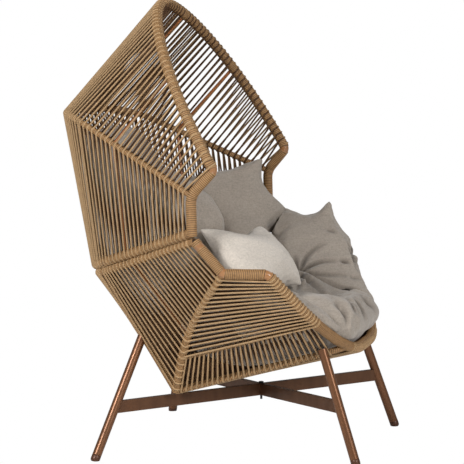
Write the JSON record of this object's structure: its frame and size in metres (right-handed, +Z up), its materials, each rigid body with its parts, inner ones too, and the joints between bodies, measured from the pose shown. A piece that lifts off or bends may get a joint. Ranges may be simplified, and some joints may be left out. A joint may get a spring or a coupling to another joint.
{
  "type": "pod chair",
  "caption": "High-backed outdoor lounge chair: a rope-strung hood over a rope-strung seat shell on splayed legs with crossed bars, holding a petal cushion and a throw pillow.",
  "frame": {"origin": "on the floor, under the middle of the chair's overall box", "axes": "+Z up, the chair faces -Y, +X is the sitter's left side"},
  "size_m": [1.0312, 1.0618, 1.4811],
  "materials": {
    "rope": "stretched round synthetic cord, straw brown",
    "rope_wrap": "cord wound tightly round a coated metal tube",
    "rod_coat": "copper brown powder coat",
    "leg_coat": "dark brown satin powder coat",
    "cap": "matte dark brown",
    "bolt": "black, satin",
    "cushion_linen": "warm grey woven outdoor fabric",
    "pillow_linen": "pale heathered woven fabric"
  },
  "bodies": {
    "frame": {"cross_bar_front_right_to_rear_left": "leg_coat", "cross_bar_rear_right_to_front_left": "leg_coat", "cross_bolt": "bolt", "foot_cap_front_left": "cap", "foot_cap_front_right": "cap", "foot_cap_rear_left": "cap", "foot_cap_rear_right": "cap", "hood_back": "rope", "hood_base_rib": "rope_wrap", "hood_front_frame": "rope_wrap", "hood_roof_lower_left": "rope", "hood_roof_lower_right": "rope", "hood_roof_middle_left": "rope", "hood_roof_middle_right": "rope", "hood_roof_ridge": "rope", "hood_roof_rod_lower_left": "rod_coat", "hood_roof_rod_lower_right": "rod_coat", "hood_roof_rod_upper_left": "rod_coat", "hood_roof_rod_upper_right": "rod_coat", "hood_shoulder_rib": "rope_wrap", "hood_side_front_left": "rope", "hood_side_front_right": "rope", "hood_side_rear_left": "rope", "hood_side_rear_right": "rope", "hood_side_rod_left": "rod_coat", "hood_side_rod_right": "rod_coat", "leg_front_left": "leg_coat", "leg_front_right": "leg_coat", "leg_rear_left": "leg_coat", "leg_rear_right": "leg_coat", "seat_arm_left": "rope", "seat_arm_right": "rope", "seat_back": "rope", "seat_bottom": "rope", "seat_crease_rib_left": "rope_wrap", "seat_crease_rib_right": "rope_wrap", "seat_rail_left": "rope_wrap", "seat_rail_right": "rope_wrap", "seat_rear_rib_left": "rope_wrap", "seat_rear_rib_right": "rope_wrap", "seat_rim": "rope_wrap", "seat_ring": "rope_wrap", "seat_side_front_left": "rope", "seat_side_front_right": "rope", "seat_side_rear_left": "rope", "seat_side_rear_right": "rope", "seat_side_rod_left": "rod_coat", "seat_side_rod_right": "rod_coat", "seat_skirt_left": "rope", "seat_skirt_right": "rope", "seat_top_rib": "rope_wrap"},
    "cushion": {"cushion_back": "cushion_linen", "cushion_seat": "cushion_linen", "cushion_side_left": "cushion_linen", "cushion_side_right": "cushion_linen", "cushion_wing_left": "cushion_linen", "cushion_wing_right": "cushion_linen"},
    "pillow": {"throw_pillow": "pillow_linen"}
  },
  "joints": [
    {"name": "cushion_lift", "type": "slide", "parent": "frame", "child": "cushion", "axis": [0, -0.8202, 0.5721], "range_m": [0, 0.9]},
    {"name": "pillow_lift", "type": "slide", "parent": "cushion", "child": "pillow", "axis": [0.25, -0.6, 0.7599], "range_m": [0, 0.45]}
  ]
}
